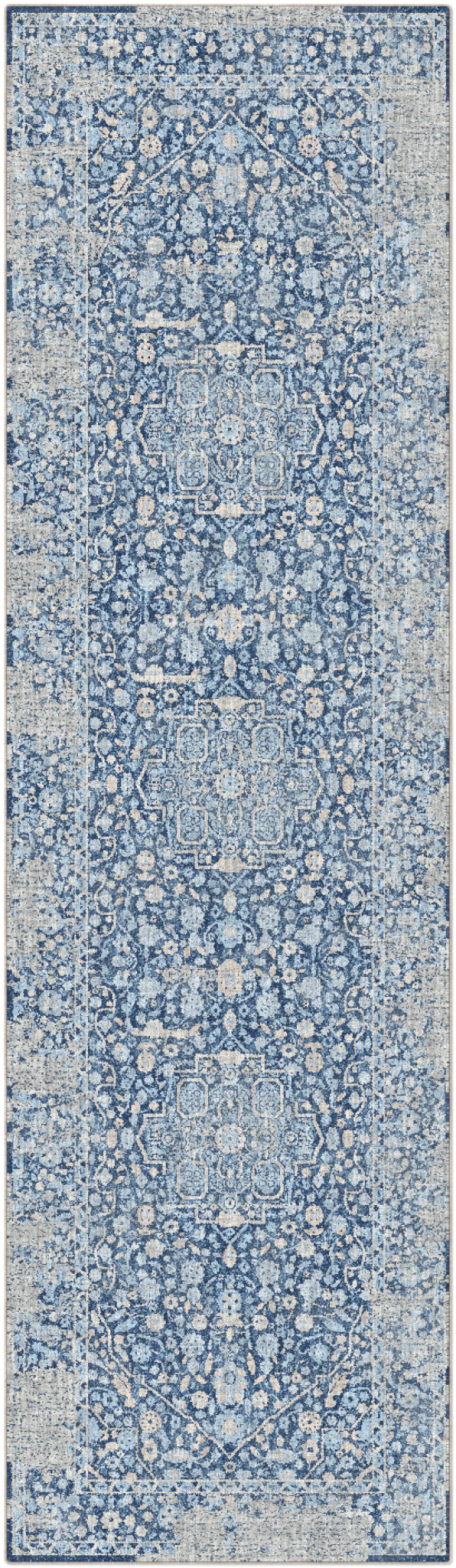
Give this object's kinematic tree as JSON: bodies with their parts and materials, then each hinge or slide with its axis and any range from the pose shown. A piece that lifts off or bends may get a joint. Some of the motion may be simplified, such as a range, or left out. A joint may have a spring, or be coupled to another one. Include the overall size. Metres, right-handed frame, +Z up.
{
  "type": "runner rug",
  "caption": "Long cut-pile runner with a faded medallion and rosette border design, on a woven ground, with overcast edges.",
  "frame": {"origin": "middle of the underside, on the floor", "axes": "+Y along the runner towards its head end, +X across it, +Z up through the pile"},
  "size_m": [0.686, 2.388, 0.01],
  "materials": {
    "pile_yarn": "cut pile of heather yarns in navy, denim blue, pale blue and cream, matte, worn in streaks",
    "weft_yarn": "coarse natural weft yarn, matte, in ribs across the width",
    "stuffer_yarn": "spun cotton and polyester, matte",
    "serging_yarn": "off-white twisted edge yarn, close overcast stitches, slight sheen",
    "core_cord": "twisted filler cord, matte",
    "label_cloth": "blank woven satin label, slight sheen",
    "label_thread": "fine polyester sewing thread"
  },
  "bodies": {
    "root": {"pile": "pile_yarn", "upper_weft_shots": "weft_yarn", "stuffer_warps": "stuffer_yarn", "lower_weft_shots": "weft_yarn", "side_serging_left": "serging_yarn", "side_serging_right": "serging_yarn", "end_serging_head": "serging_yarn", "end_serging_foot": "serging_yarn", "side_cord_left": "core_cord", "side_cord_right": "core_cord", "end_cord_head": "core_cord", "end_cord_foot": "core_cord", "care_label": "label_cloth", "label_seam_inner": "label_thread", "label_seam_outer": "label_thread"}
  },
  "joints": []
}
